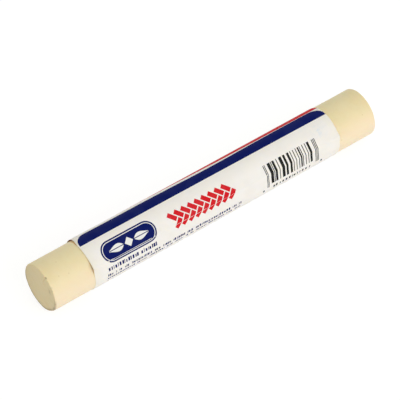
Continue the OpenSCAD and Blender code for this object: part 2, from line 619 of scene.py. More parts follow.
def roll_slack(tree, given, along, angle):
    """How far the paper stands off its tight place: nothing on the underside."""
    share = calc(tree, "DIVIDE", along, given["Length"])
    to_rear = calc(tree, "SUBTRACT", given["Length"], along)
    near_edge = fade(tree, calc(tree, "MINIMUM", along, to_rear), 0.0, given["Edge reach"], 1.0, 0.0)

    loose = calc(tree, "MULTIPLY", calc(tree, "DIVIDE", to_rear, given["Length"]), given["Looseness"])
    at_front = fade(tree, along, 0.0, given["Back reach"], 1.0, 0.0)
    loose = calc(tree, "MULTIPLY_ADD", at_front, given["Back lift"], loose)
    behind_top = hump(tree, angle, BACK_LIFT_AT, BACK_LIFT_SPREAD)

    at_lift = hump(tree, angle, scaled(tree, share, LIFT_FRONT, CREASE_REAR), LIFT_SPREAD)
    lift = scaled(tree, share, given["Front lift"], given["Rear lift"])
    lifted = calc(tree, "MULTIPLY", calc(tree, "MULTIPLY", at_lift, near_edge), lift)

    crease = scaled(tree, share, CREASE_FRONT, CREASE_REAR)
    aside = calc(tree, "ABSOLUTE", calc(tree, "SUBTRACT", angle, crease))
    slack = calc(tree, "MULTIPLY_ADD", behind_top, loose, lifted)
    slack = calc(tree, "ADD", slack, taut(tree, given, given["Crease height"], aside))

    touching = calc(tree, "SUBTRACT", 1.0, calc(tree, "MAXIMUM", behind_top, at_lift))
    held = calc(tree, "MULTIPLY", near_edge, touching)
    slack = calc(tree, "SUBTRACT", slack, calc(tree, "MULTIPLY", held, given["Grip"]))

    round_rod = calc(tree, "MULTIPLY", angle, given["Outside radius"])
    spot = put(tree, "ShaderNodeCombineXYZ", {0: along, 1: round_rod}).outputs[0]
    ripple = put(tree, "ShaderNodeTexNoise", {"Vector": spot, "Scale": RIPPLE_SCALE, "Detail": 1.0})
    centred = calc(tree, "MULTIPLY_ADD", ripple.outputs["Fac"], 2.0, -1.0)
    free = calc(tree, "MULTIPLY", calc(tree, "SUBTRACT", 1.0, held), given["Ripple"])
    slack = calc(tree, "MULTIPLY_ADD", centred, free, slack)

    behind = fade(tree, angle, *TIGHT_BEHIND)
    below = fade(tree, angle, *TIGHT_BELOW, 1.0, 0.0)
    return calc(tree, "MULTIPLY", slack, calc(tree, "MULTIPLY", behind, below))


def rolled_place():
    """The node group that turns a flat place into a place on the stick."""
    sockets = {"Flat place": (ARROW, None)}
    sockets.update({name: (NUMBER, value) for name, value in ROLL_SIZES.items()})
    tree, given, end = new_group("GeometryNodeTree", "rolled place", sockets, {"Place": ARROW})
    flat = put(tree, "ShaderNodeSeparateXYZ", {0: given["Flat place"]}).outputs
    angle = calc(tree, "DIVIDE", flat[1], given["Outside radius"])
    past_half = calc(tree, "GREATER_THAN", angle, math.pi)
    turned = calc(tree, "MULTIPLY_ADD", past_half, -2 * math.pi, angle)

    to_edge = calc(tree, "MINIMUM", flat[0], calc(tree, "SUBTRACT", given["Length"], flat[0]))
    worn = fade(tree, to_edge, 0.0, given["Edge wear"], -EDGE_WORN_OFF, 0.0)
    level = calc(tree, "MULTIPLY_ADD", calc(tree, "ADD", flat[2], PAPER_THICK), worn, flat[2])
    step = taut(tree, given, given["Lap rise"], calc(tree, "SUBTRACT", angle, given["Inner edge"]))
    pressed = fade(tree, to_edge, 0.0, given["Edge wear"], EDGE_LAP_RISE, 1.0)
    step = calc(tree, "MULTIPLY", step, pressed)
    raised = calc(tree, "ADD", step, roll_slack(tree, given, flat[0], turned))
    radius = calc(tree, "ADD", calc(tree, "ADD", given["Outside radius"], level), raised)

    cut = calc(tree, "MULTIPLY", fade(tree, turned, *CORNER_CUT_BETWEEN, 1.0, 0.0), given["Corner cut"])
    cut = calc(tree, "MULTIPLY", fade(tree, flat[0], 0.0, given["Edge reach"], 1.0, 0.0), cut)
    along = calc(tree, "ADD", calc(tree, "ADD", flat[0], cut), given["Front edge"])
    across = calc(tree, "MULTIPLY", calc(tree, "MULTIPLY", radius, -1.0), calc(tree, "SINE", angle))
    height = calc(tree, "MULTIPLY_ADD", radius, calc(tree, "COSINE", angle), given["Axis height"])
    place = put(tree, "ShaderNodeCombineXYZ", {0: along, 1: across, 2: height})
    tree.links.new(place.outputs[0], end.inputs["Place"])
    return tree


ROLLED = rolled_place()
print("roll group with", len(ROLLED.nodes), "nodes")

# %% Trees that end in the roll


def rolling_tree(name, inputs):
    """A tree with its own inputs, the sizes of the roll, and the finish."""
    sockets = dict(inputs)
    sockets.update({size: (NUMBER, value) for size, value in ROLL_SIZES.items()})
    sockets["Finish"] = (FINISH, None)
    return new_group("GeometryNodeTree", name, sockets, {"Geometry": GEOMETRY})


def roll_up(tree, given, end, flat_geometry):
    """The common end of the trees: keeps the flat place, rolls it, and sets the finish."""
    flat = put(tree, "GeometryNodeInputPosition").outputs[0]
    kept = put(tree, "GeometryNodeStoreNamedAttribute",
               {"Geometry": flat_geometry, "Name": "flat_place", "Value": flat},
               data_type="FLOAT_VECTOR", domain="POINT").outputs[0]
    place = put(tree, "GeometryNodeGroup", node_tree=ROLLED)
    tree.links.new(flat, place.inputs["Flat place"])
    for name in ROLL_SIZES:
        tree.links.new(given[name], place.inputs[name])
    rolled = put(tree, "GeometryNodeSetPosition", {"Geometry": kept, "Position": place.outputs[0]})
    faced = put(tree, "GeometryNodeFlipFaces", {"Mesh": rolled.outputs[0]})
    real = put(tree, "GeometryNodeRealizeInstances", {"Geometry": faced.outputs[0]})
    finished = put(tree, "GeometryNodeSetMaterial", {
        "Geometry": real.outputs[0], "Material": given["Finish"]})
    tree.links.new(finished.outputs[0], end.inputs["Geometry"])


def grown(name, tree, values, drawing=None):
    """Runs a tree with these inputs, on a drawing or from nothing, and keeps the result as a plain mesh."""
    piece = link(bpy.data.objects.new(name, drawing or bpy.data.meshes.new(name)))
    modifier = piece.modifiers.new(tree.name, "NODES")
    modifier.node_group = tree
    for item in tree.interface.items_tree:
        if item.in_out == "INPUT" and item.name in values:
            modifier[item.identifier] = values[item.name]
    graph = bpy.context.evaluated_depsgraph_get()
    result = bpy.data.meshes.new_from_object(
        piece.evaluated_get(graph), preserve_all_data_layers=True, depsgraph=graph)
    piece.modifiers.clear()
    piece.data = result
    return smooth(piece)


print("rolling helpers ready")

# %% [markdown]
# ## The paper
# The label is smooth white paper, printed on its outer face. Its tone varies a little with the fibres. Wax
# grease has crept into both ends and makes them warmer. The inside and the cut ends are painted tan, as
# painted light that comes through the paper into the gap, and brown at the back, as painted shade. Some ink
# from another sheet has rubbed off near the rear end. Masks in the room's own directions could place these
# stains and painted tints, but the sheet is curved. So the finish reads the flat place that the tree kept,
# and they lie where the flat sheet has them.

# %% Paper finish
PAPER_WHITE = (0.975, 0.905, 0.855, 1)
PAPER_SHADE = (0.95, 0.88, 0.825, 1)
PAPER_GREASE = (0.92, 0.84, 0.68, 1)
PAPER_RUBBED = (0.77, 0.80, 0.85, 1)
# PAPER_PAINTED_GAP_GLOW and PAPER_PAINTED_GAP_SHADE are painted light and painted shade in the gap under the
# paper.
PAPER_PAINTED_GAP_GLOW = (1.0, 0.77, 0.40, 1)
PAPER_PAINTED_GAP_SHADE = (0.42, 0.11, 0.015, 1)
GREASE_REACH = 3.5 * MM
GREASE_MOST = 0.5
PAINTED_END_REACH = 0.12 * MM
PAINTED_END_FULL = 0.5 * PAINTED_END_REACH
INSIDE_FULL = -0.9 * PAPER_THICK
INSIDE_END = -0.5 * PAPER_THICK
BROWN_FROM = 2.0 * LABEL_RADIUS
BROWN_TO = 4.0 * LABEL_RADIUS
RUBBED_ALONG = (88 * MM, 2.6 * MM)
RUBBED_ROUND = (4.4 * MM, 2.0 * MM)


def painted_gap_light_on_paper(tree, flat, to_edge, colour):
    """The paper's colour with painted light and shade: its inside and cut ends painted tan, as light in the
    gap, and brown at the back, as deep shade.
    """
    inside = fade(tree, flat[2], INSIDE_FULL, INSIDE_END, 1.0, 0.0)
    ends = fade(tree, to_edge, PAINTED_END_FULL, PAINTED_END_REACH, 1.0, 0.0)
    at_back = fade(tree, flat[1], BROWN_FROM, BROWN_TO)
    grease_and_gap_glow = mixed(tree, at_back, PAPER_PAINTED_GAP_GLOW, PAPER_PAINTED_GAP_SHADE)
    return mixed(tree, calc(tree, "MAXIMUM", inside, ends), colour, grease_and_gap_glow)


def paper_finish():
    """White label paper with faint fibres, greasy ends, a rubbed patch, and painted gap light and shade on
    its inside and cut ends.
    """
    finish, tree, shader, place = new_finish(
        "label paper", Specular_IOR_Level=0.2, Subsurface_Weight=0.4, Subsurface_Radius=(1.0, 0.85, 0.6),
        Subsurface_Scale=0.2 * MM)
    flat_place = put(tree, "ShaderNodeAttribute", attribute_name="flat_place").outputs["Vector"]
    flat = put(tree, "ShaderNodeSeparateXYZ", {0: flat_place}).outputs
    to_edge = calc(tree, "MINIMUM", flat[0], calc(tree, "SUBTRACT", LABEL_LENGTH, flat[0]))
    cloud = effect(tree, BLOTCHES, place, scale=160.0)
    streaks = effect(tree, BLOTCHES, flat_place, scale=700.0, low=0.45, high=0.62)

    colour = mixed(tree, cloud, PAPER_WHITE, PAPER_SHADE)
    grease_and_gap_glow = fade(tree, to_edge, 0.0, GREASE_REACH, GREASE_MOST, 0.0)
    grease_and_gap_glow = calc(tree, "MULTIPLY", grease_and_gap_glow, scaled(tree, cloud, 0.5, 1.0))
    colour = mixed(tree, grease_and_gap_glow, colour, PAPER_GREASE)
    rubbed = calc(tree, "MULTIPLY", hump(tree, flat[0], *RUBBED_ALONG), hump(tree, flat[1], *RUBBED_ROUND))
    rubbed = calc(tree, "MULTIPLY", rubbed, scaled(tree, streaks, 0.2, 0.8))
    colour = mixed(tree, rubbed, colour, PAPER_RUBBED)
    # Painted light and shade: the inside and the cut ends get the gap's warm glow and, at the back, brown
    # shade.
    colour = painted_gap_light_on_paper(tree, flat, to_edge, colour)

    fibres = effect(tree, GRAIN, place, coarse_scale=900.0, fine_scale=4500.0)
    link_surface(tree, shader, colour, scaled(tree, cloud, 0.46, 0.54), fibres, 0.008 * MM)
    return finish


PAPER = paper_finish()
print("finish:", PAPER.name)

# %% The sheet
SHEET_COLUMNS = 112
SHEET_ROWS = 270
FREE_EDGE_REACH = 0.4 * MM
FREE_EDGE_SLANT = 0.0135
CROWDING = 0.75


def sheet_tree():
    """A flat closed sheet, rolled. Its columns crowd at the ends, and its first edge slants."""
    tree, given, end = rolling_tree("flat sheet", {
        "Along start": (NUMBER, 0.0), "Along end": (NUMBER, LABEL_LENGTH),
        "Round start": (NUMBER, SHEET_START), "Round end": (NUMBER, SHEET_END),
        "Underside": (NUMBER, -PAPER_THICK), "Topside": (NUMBER, 0.0), "Slant": (NUMBER, 0.0),
        "Columns": (WHOLE, SHEET_COLUMNS), "Rows": (WHOLE, SHEET_ROWS)})
    spans = []
    middles = []
    for first, last in (("Along start", "Along end"), ("Round start", "Round end"),
                        ("Underside", "Topside")):
        spans.append(calc(tree, "SUBTRACT", given[last], given[first]))
        middles.append(calc(tree, "DIVIDE", calc(tree, "ADD", given[last], given[first]), 2.0))
    size = put(tree, "ShaderNodeCombineXYZ", dict(enumerate(spans))).outputs[0]
    sheet = put(tree, "GeometryNodeMeshCube", {
        "Size": size, "Vertices X": given["Columns"], "Vertices Y": given["Rows"],
        "Vertices Z": 2}).outputs["Mesh"]

    position = put(tree, "GeometryNodeInputPosition").outputs[0]
    spot = put(tree, "ShaderNodeSeparateXYZ", {0: position}).outputs
    even = calc(tree, "MULTIPLY_ADD", spans[0], 0.5, spot[0])
    turn = calc(tree, "MULTIPLY", calc(tree, "DIVIDE", even, spans[0]), 2 * math.pi)
    wave = calc(tree, "MULTIPLY", calc(tree, "SINE", turn), spans[0])
    crowd = calc(tree, "MULTIPLY", wave, -CROWDING / (2 * math.pi))
    to_end = calc(tree, "SUBTRACT", 0.5, calc(tree, "DIVIDE", spot[1], spans[1]))
    slanted = calc(tree, "MULTIPLY", calc(tree, "ADD", even, crowd), given["Slant"])
    slanted = calc(tree, "MULTIPLY", slanted, to_end)
    offset = put(tree, "ShaderNodeCombineXYZ", {
        0: calc(tree, "ADD", middles[0], crowd), 1: calc(tree, "ADD", middles[1], slanted),
        2: middles[2]}).outputs[0]
    moved = put(tree, "GeometryNodeSetPosition", {"Geometry": sheet, "Offset": offset})
    roll_up(tree, given, end, moved.outputs[0])
    return tree


SHEET_TREE = sheet_tree()
label = grown("paper_label", SHEET_TREE, {
    **ROLL_SIZES, "Along start": 0.0, "Along end": LABEL_LENGTH,
    "Round start": SHEET_START - FREE_EDGE_REACH, "Round end": SHEET_END,
    "Underside": -PAPER_THICK, "Topside": 0.0, "Slant": FREE_EDGE_SLANT,
    "Columns": SHEET_COLUMNS, "Rows": SHEET_ROWS, "Finish": PAPER})
print(label.name, len(label.data.polygons), "faces")
print(f"the sheet runs {(SHEET_END - SHEET_START) / MM:.1f} mm round the rod")

# %% [markdown]
# ## The inks
# The print is solid ink: navy, red and black, and the white of the little signs on the navy. Ink lies on
# the fibres, so it keeps their grain. It is matt, cloudy in places, and has a few pinholes. Four materials
# could be written out. They differ only in a few values, so one function makes them all.

# %% Ink finishes
INK_WEAR = 0.15
INK_CLOUDS = 0.35
PINHOLE_TINT = 0.6
SHINE_SPREAD = 0.04


def ink_finish(name, colour, pinhole_colour, roughness):
    """One printed ink, with a little tone and a few pinholes."""
    finish, tree, shader, place = new_finish(name, Specular_IOR_Level=0.02)
    cloud = effect(tree, BLOTCHES, place, scale=260.0)
    holes = effect(tree, PINHOLES, place, scale=900.0, size=0.14, share=0.05)
    worn = tuple((1 - INK_WEAR) * c + INK_WEAR * p for c, p in zip(colour, pinhole_colour))
    tint = mixed(tree, calc(tree, "MULTIPLY", cloud, INK_CLOUDS), (*colour, 1), (*worn, 1))
    tint = mixed(tree, calc(tree, "MULTIPLY", holes, PINHOLE_TINT), tint, (*pinhole_colour, 1))
    shine = scaled(tree, cloud, roughness - SHINE_SPREAD, roughness + SHINE_SPREAD)
    fibres = effect(tree, GRAIN, place, coarse_scale=900.0, fine_scale=4500.0)
    link_surface(tree, shader, tint, shine, fibres, 0.006 * MM)
    return finish


PAPER_TINT = PAPER_WHITE[:3]
NAVY = ink_finish("navy ink", (0.004, 0.010, 0.115), (0.10, 0.12, 0.26), 0.42)
RED = ink_finish("red ink", (0.66, 0.013, 0.021), (0.80, 0.30, 0.30), 0.42)
BLACK = ink_finish("black ink", (0.014, 0.014, 0.013), (0.25, 0.25, 0.24), 0.45)
WHITE = ink_finish("white ink", (0.84, 0.84, 0.83), PAPER_TINT, 0.45)
print("inks:", NAVY.name, RED.name, BLACK.name, WHITE.name)

# %% [markdown]
# ## Drawing on the flat sheet
# A printed shape is a very thin slab on the flat sheet, cut into small cells so that it can bend. A picture
# on the paper would do for one distance, but slabs keep their edges sharp at any. Every shape here is a grid
# of places: a filled shape runs between a low and a high edge, and a line runs along a path with a width.
# The sheet was rolled a little askew, so the print climbs slightly along the stick.

# %% Flat shapes
INK_TOP = 0.016 * MM
INK_SUNK = -0.02 * MM
SKEW = 0.0051
CELL = 0.3 * MM
CELL_ALONG = 1.0 * MM
CORNER_STEPS = 10
MERGE_WITHIN = 0.0005 * MM


def add_slab(mesh, grid, top=INK_TOP, sunk=INK_SUNK, skew=SKEW, closed=False):
    """Adds a thin closed slab over a grid of flat places, in mm."""
    def lid(height):
        return [[mesh.verts.new((u * MM, (w + skew * u) * MM, height)) for u, w in row] for row in grid]

    upper = lid(top)
    lower = lid(sunk)
    rows = len(grid)
    last = len(grid[0]) - 1
    for i in range(rows if closed else rows - 1):
        n = (i + 1) % rows
        for j in range(last):
            mesh.faces.new((upper[i][j], upper[n][j], upper[n][j + 1], upper[i][j + 1]))
            mesh.faces.new((lower[i][j], lower[i][j + 1], lower[n][j + 1], lower[n][j]))
        mesh.faces.new((upper[i][0], lower[i][0], lower[n][0], upper[n][0]))
        mesh.faces.new((upper[i][last], upper[n][last], lower[n][last], lower[i][last]))
    if not closed:
        for i in (0, rows - 1):
            for j in range(last):
                mesh.faces.new((upper[i][j], upper[i][j + 1], lower[i][j + 1], lower[i][j]))


def rounded_edge(u, start, end, radius):
    """How far a rounded corner pulls the edge in, at a place along the shape."""
    inside = min(u - start, end - u)
    if radius <= 0 or inside >= radius:
        return 0.0
    return radius - math.sqrt(max(0.0, radius ** 2 - (radius - inside) ** 2))


def stations(start, end, radius):
    """Places along a shape, closer together in its round corners."""
    step = CELL_ALONG / MM
    steps = max(1, round((end - start - 2 * radius) / step))
    straight = [start + radius + (end - start - 2 * radius) * i / steps for i in range(steps + 1)]
    if radius <= 0:
        return straight
    turns = [radius * (1 - math.cos(math.pi / 2 * i / CORNER_STEPS)) for i in range(CORNER_STEPS)]
    return [start + t for t in turns] + straight + [end - t for t in reversed(turns)]


def add_plate(mesh, start, end, high, low, high_corner=0.0, low_corner=0.0, worn=lambda u: 0.0, **slab):
    """Adds a filled shape with round corners between two edges. Worn sets the high edge back."""
    cells = max(2, math.ceil((low - high) * MM / CELL))
    grid = []
    for u in stations(start, end, max(high_corner, low_corner)):
        first = high + worn(u) + rounded_edge(u, start, end, high_corner)
        final = low - rounded_edge(u, start, end, low_corner)
        grid.append([(u, first + (final - first) * j / cells) for j in range(cells + 1)])
    add_slab(mesh, grid, **slab)


def add_line(mesh, path, width, closed=False, **slab):
    """Adds a line along a path."""
    grid = []
    count = len(path)
    for i, (u, w) in enumerate(path):
        before = path[i - 1] if closed or i else path[0]
        after = path[(i + 1) % count] if closed or i < count - 1 else path[-1]
        along = Vector((after[0] - before[0], after[1] - before[1])).normalized()
        grid.append([(u - along.y * s * width / 2, w + along.x * s * width / 2) for s in (-1, 0, 1)])
    add_slab(mesh, grid, closed=closed, **slab)


def straight_path(first, second):
    """A straight path cut into short steps."""
    length = math.dist(first, second)
    steps = max(2, math.ceil(length * MM / CELL))
    return [tuple(a + (b - a) * i / steps for a, b in zip(first, second)) for i in range(steps + 1)]


def flat_mesh(name, mesh):
    """Closes the seams of the drawn slabs and hands them on as a flat mesh."""
    bmesh.ops.remove_doubles(mesh, verts=mesh.verts, dist=MERGE_WITHIN)
    bmesh.ops.recalc_face_normals(mesh, faces=mesh.faces)
    data = bpy.data.meshes.new(name)
    mesh.to_mesh(data)
    mesh.free()
    return data


def print_tree():
    """Rolls a flat drawing."""
    tree, given, end = rolling_tree("rolled print", {"Geometry": (GEOMETRY, None)})
    roll_up(tree, given, end, given["Geometry"])
    return tree


PRINT_TREE = print_tree()


def printed(name, mesh, finish):
    """Rolls a drawing on to the label."""
    return grown(name, PRINT_TREE, {**ROLL_SIZES, "Finish": finish}, flat_mesh(name, mesh))


print("drawing helpers ready")

# %% [markdown]
# ## The bands
# Two bands run the whole length of the label, each with one straight edge and two round corners on the
# other side. The navy one lies along the free edge of the sheet, where its ink has rubbed off to a narrow
# white rim that is widest in the middle. The red one lies at the other end of the sheet, so it comes up
# behind the free edge. The label is rolled looser at the front, so the red band runs askew to the navy one.

# %% Bands
# Places on the flat sheet are in mm: along it from the front edge, and round it from the top line.
BAND_START = 0.5
BAND_END = 93.75
BAND_CORNER = 4.0
NAVY_BAND = (-4.60, 0.02)
NAVY_SKEW = 0.0068
RUB_SLOPE = 0.0058
RUB_DEPTH = 0.6
RUB_MIDDLE = 51.0
RUB_SPREAD = 17.0
RED_BAND = (-15.1, -8.6)
RED_SKEW = 0.0750
ONE_TURN = 2 * math.pi * LABEL_RADIUS / MM


def rubbed_off(u):
    """How much of the navy band's high edge is gone at a place along it."""
    return RUB_SLOPE * u + RUB_DEPTH * math.exp(-((u - RUB_MIDDLE) / RUB_SPREAD) ** 2)


navy_drawing = bmesh.new()
red_drawing = bmesh.new()
red_edges = [edge + ONE_TURN for edge in RED_BAND]
add_plate(navy_drawing, BAND_START, BAND_END, *NAVY_BAND, high_corner=BAND_CORNER, skew=NAVY_SKEW,
          worn=rubbed_off)
add_plate(red_drawing, BAND_START, BAND_END, *red_edges, high_corner=BAND_CORNER, skew=RED_SKEW)
print("bands:", len(navy_drawing.faces), "and", len(red_drawing.faces), "cells")

# %% [markdown]
# ## The tablet with its ornament
# A navy tablet with round ends carries a printer's ornament inside a thin white line: a lozenge between
# two leaves. A leaf could be drawn by hand. Here it is two halves with its rib left open between them, and
# each half swells and closes like a sine, so a few numbers shape it.

# %% Tablet
# The tablet's two ends along the sheet, and its high and its low edge.
TABLET = (4.5, 24.2, 2.4, 9.2)
TABLET_INSET = 0.6
TABLET_LINE = 0.24
TURN_STEPS = 18
SIGN_TOP = INK_TOP + 0.01 * MM
SIGN_CELLS = 5
LOZENGE_HALF = 1.5
LOZENGE_DRAWN = 0.98
LOZENGE_STEPS = 8
LEAF_START = 2.0
LEAF_LENGTH = 5.4
LEAF_SWELL = 1.05
LEAF_LEAN = 0.7
LEAF_SLIMNESS = 1.3
LEAF_TIP = 0.02
LEAF_RIB = 0.12
LEAF_STEPS = 24

tablet_start, tablet_end, tablet_high, tablet_low = TABLET
tablet_round = (tablet_low - tablet_high) / 2
tablet_along = (tablet_start + tablet_end) / 2
tablet_middle = (tablet_low + tablet_high) / 2
add_plate(navy_drawing, *TABLET, high_corner=tablet_round, low_corner=tablet_round)


def stadium_path(inset):
    """A closed path inside the tablet's edge."""
    radius = tablet_round - inset
    path = []
    for middle, turn in ((tablet_end - tablet_round, -90), (tablet_start + tablet_round, 90)):
        for i in range(TURN_STEPS + 1):
            angle = math.radians(turn + 180 * i / TURN_STEPS)
            path.append((middle + radius * math.cos(angle), tablet_middle + radius * math.sin(angle)))
        if turn < 0:
            back = straight_path(path[-1], (tablet_start + tablet_round, tablet_middle + radius))
        else:
            back = straight_path(path[-1], (tablet_end - tablet_round, tablet_middle - radius))
        path += back[1:-1]
    return path


def add_between(mesh, places, near_edge, far_edge, **slab):
    """Adds a shape between two edges, each a function of the place along it."""
    grid = []
    for u in places:
        near, far = near_edge(u), far_edge(u)
        grid.append([(u, near + (far - near) * j / SIGN_CELLS) for j in range(SIGN_CELLS + 1)])
    add_slab(mesh, grid, **slab)


def leaf_swell(share):
    """Half width of a leaf: it swells fast from the stalk and closes slowly to a point."""
    return LEAF_RIB + LEAF_TIP + LEAF_SWELL * math.sin(math.pi * share ** LEAF_LEAN) ** LEAF_SLIMNESS


white_drawing = bmesh.new()
add_line(white_drawing, stadium_path(TABLET_INSET), TABLET_LINE, closed=True, top=SIGN_TOP)
lozenge_shares = [i / LOZENGE_STEPS - 1 for i in range(2 * LOZENGE_STEPS + 1)]
lozenge = [tablet_along + LOZENGE_HALF * share * LOZENGE_DRAWN for share in lozenge_shares]
add_between(white_drawing, lozenge, lambda u: tablet_middle - LOZENGE_HALF + abs(u - tablet_along),
            lambda u: tablet_middle + LOZENGE_HALF - abs(u - tablet_along), top=SIGN_TOP)
for side in (-1, 1):
    for half in (-1, 1):
        shares = [i / LEAF_STEPS for i in range(LEAF_STEPS + 1)]
        leaf = [tablet_along + side * (LEAF_START + LEAF_LENGTH * share) for share in shares]
        swells = {u: leaf_swell(share) for u, share in zip(leaf, shares)}
        add_between(white_drawing, leaf, lambda u: tablet_middle + half * LEAF_RIB,
                    lambda u: tablet_middle + half * swells[u], top=SIGN_TOP)
print("ornament:", len(white_drawing.faces), "cells")

# %% [markdown]
# ## The parquet
# Beside the tablet the label shows where the wax is used, with a bold red strip of parquet. The blocks lie
# in herringbone: every block meets the side of the next, a quarter turn away. Each could be placed and
# turned by itself. On a grid turned by an eighth the blocks lie level and upright, so their corners are
# whole numbers there, and one loop lays them all.

# %% Parquet
PARQUET_START = 28.6
PARQUET_MIDDLE = 6.87
PARQUET_STEPS = 9
BLOCK_WIDTH = 1.79
BLOCK_RATIO = 2
BLOCK_GAP = 0.36
BLOCK_CELLS = 8


def parquet_place(x, y):
    """A place on the turned grid, given in block widths, as a place on the flat sheet."""
    scale = BLOCK_WIDTH / math.sqrt(2)
    return PARQUET_START + (x + y) * scale, PARQUET_MIDDLE + (x - y - BLOCK_RATIO + 0.5) * scale


def add_block(mesh, x, y, wide, tall):
    """Adds one block of the parquet, a gap smaller than its place on the turned grid."""
    gap = BLOCK_GAP / 2 / BLOCK_WIDTH
    grid = []
    for i in range(BLOCK_CELLS + 1):
        across = x + gap + (wide - 2 * gap) * i / BLOCK_CELLS
        row = [y + gap + (tall - 2 * gap) * j / BLOCK_CELLS for j in range(BLOCK_CELLS + 1)]
        grid.append([parquet_place(across, up) for up in row])
    add_slab(mesh, grid)


for step in range(PARQUET_STEPS):
    add_block(red_drawing, step, step, BLOCK_RATIO, 1)
    add_block(red_drawing, step + BLOCK_RATIO, step + 1 - BLOCK_RATIO, 1, BLOCK_RATIO)
print("parquet:", 2 * PARQUET_STEPS, "blocks")

# %% [markdown]
# ## Rows of small marks
# Below the tablet run rows of small marks, as fine as small print, and towards the rear end there is a
# block of upright bars. They stand for print without saying anything. All of them are one kind of thing, a
# row of upright strokes with uneven widths and gaps, so one tree makes every row: it draws the widths and
# gaps from a fixed seed, adds them up to place each stroke, and cuts the row off at its end.

# %% Row of marks
MARKS_SIZES = {
    "Count": WHOLE, "Seed": WHOLE, "Rows": WHOLE, "Widest": WHOLE, "Widest gap": WHOLE, "Module": NUMBER,
    "Start": NUMBER, "End": NUMBER, "Foot": NUMBER, "Height": NUMBER, "Unevenness": NUMBER,
    "Word gap": NUMBER, "Word chance": NUMBER, "Skew": NUMBER, "Top": NUMBER, "Sunk": NUMBER,
}
PLAIN_ROW = {
    "Count": 400, "Rows": 3, "Widest": 3, "Widest gap": 2, "Unevenness": 0.35, "Word gap": 0.0,
    "Word chance": 0.0, "Skew": SKEW, "Top": INK_TOP, "Sunk": INK_SUNK,
}


def drawn(tree, seed, shift, low, high, kind="INT"):
    """A random value for each mark, from the row's seed. The node has its own sockets for each kind."""
    lowest, result = (4, 2) if kind == "INT" else (2, 1)
    inputs = {lowest: low, lowest + 1: high, 8: calc(tree, "ADD", seed, float(shift))}
    return put(tree, "FunctionNodeRandomValue", inputs, data_type=kind).outputs[result]


def marks_tree():
    """A row of upright strokes of uneven width, rolled on to the label."""
    inputs = {name: (kind, None) for name, kind in MARKS_SIZES.items()}
    tree, given, end = rolling_tree("row of marks", inputs)
    seed = given["Seed"]
    width = calc(tree, "MULTIPLY", drawn(tree, seed, 0, 1, given["Widest"]), given["Module"])
    gap = calc(tree, "MULTIPLY", drawn(tree, seed, 1, 1, given["Widest gap"]), given["Module"])
    word = calc(tree, "LESS_THAN", drawn(tree, seed, 2, 0.0, 1.0, "FLOAT"), given["Word chance"])
    gap = calc(tree, "MULTIPLY_ADD", word, given["Word gap"], gap)
    uneven = calc(tree, "MULTIPLY", drawn(tree, seed, 3, 0.0, 1.0, "FLOAT"), given["Unevenness"])
    height = calc(tree, "MULTIPLY", given["Height"], calc(tree, "SUBTRACT", 1.0, uneven))

    pitch = calc(tree, "ADD", width, gap)
    sums = put(tree, "GeometryNodeAccumulateField", {0: pitch}, data_type="FLOAT", domain="POINT")
    middle = calc(tree, "MULTIPLY_ADD", width, 0.5, sums.outputs["Trailing"])
    along = calc(tree, "ADD", given["Start"], middle)
    foot = calc(tree, "MULTIPLY_ADD", along, given["Skew"], given["Foot"])
    level = calc(tree, "DIVIDE", calc(tree, "ADD", given["Top"], given["Sunk"]), 2.0)
    centre = put(tree, "ShaderNodeCombineXYZ", {
        0: along, 1: calc(tree, "MULTIPLY_ADD", height, -0.5, foot), 2: level}).outputs[0]
    points = put(tree, "GeometryNodePoints", {"Count": given["Count"]}).outputs[0]
    placed = put(tree, "GeometryNodeSetPosition", {"Geometry": points, "Position": centre}).outputs[0]
    beyond = calc(tree, "GREATER_THAN", calc(tree, "MULTIPLY_ADD", width, 0.5, along), given["End"])
    within = put(tree, "GeometryNodeDeleteGeometry", {"Geometry": placed, "Selection": beyond},
                 domain="POINT").outputs[0]

    stroke = put(tree, "GeometryNodeMeshCube", {
        "Size": (1, 1, 1), "Vertices X": 2, "Vertices Y": given["Rows"], "Vertices Z": 2}).outputs["Mesh"]
    size = put(tree, "ShaderNodeCombineXYZ", {
        0: width, 1: height, 2: calc(tree, "SUBTRACT", given["Top"], given["Sunk"])}).outputs[0]
    row = put(tree, "GeometryNodeInstanceOnPoints", {"Points": within, "Instance": stroke, "Scale": size})
    real = put(tree, "GeometryNodeRealizeInstances", {"Geometry": row.outputs[0]})
    roll_up(tree, given, end, real.outputs[0])
    return tree


MARKS_TREE = marks_tree()


def mark_row(name, finish, seed, start, end, foot, height, module, **more):
    """One row of marks, with its places and sizes in mm."""
    values = {
        **ROLL_SIZES, **PLAIN_ROW, "Finish": finish, "Seed": seed, "Start": start * MM, "End": end * MM,
        "Foot": foot * MM, "Height": height * MM, "Module": module * MM}
    values.update({key.replace("_", " ").capitalize(): value for key, value in more.items()})
    row = grown(name, MARKS_TREE, values)
    print(name, len(row.data.polygons), "faces")
    return row


# %% Small print and bars
WORDS = {"word_gap": 0.8 * MM, "word_chance": 0.14}
BARS = {"unevenness": 0.0, "widest": 4, "widest_gap": 3, "rows": 25}
GUARDS = {"unevenness": 0.0, "widest": 1, "widest_gap": 1, "rows": 28}
FEET = {"unevenness": 0.2, "widest": 2, "widest_gap": 3}
OUTER_FOOT = {"unevenness": 0.0, "widest": 1, "widest_gap": 1, "count": 1}

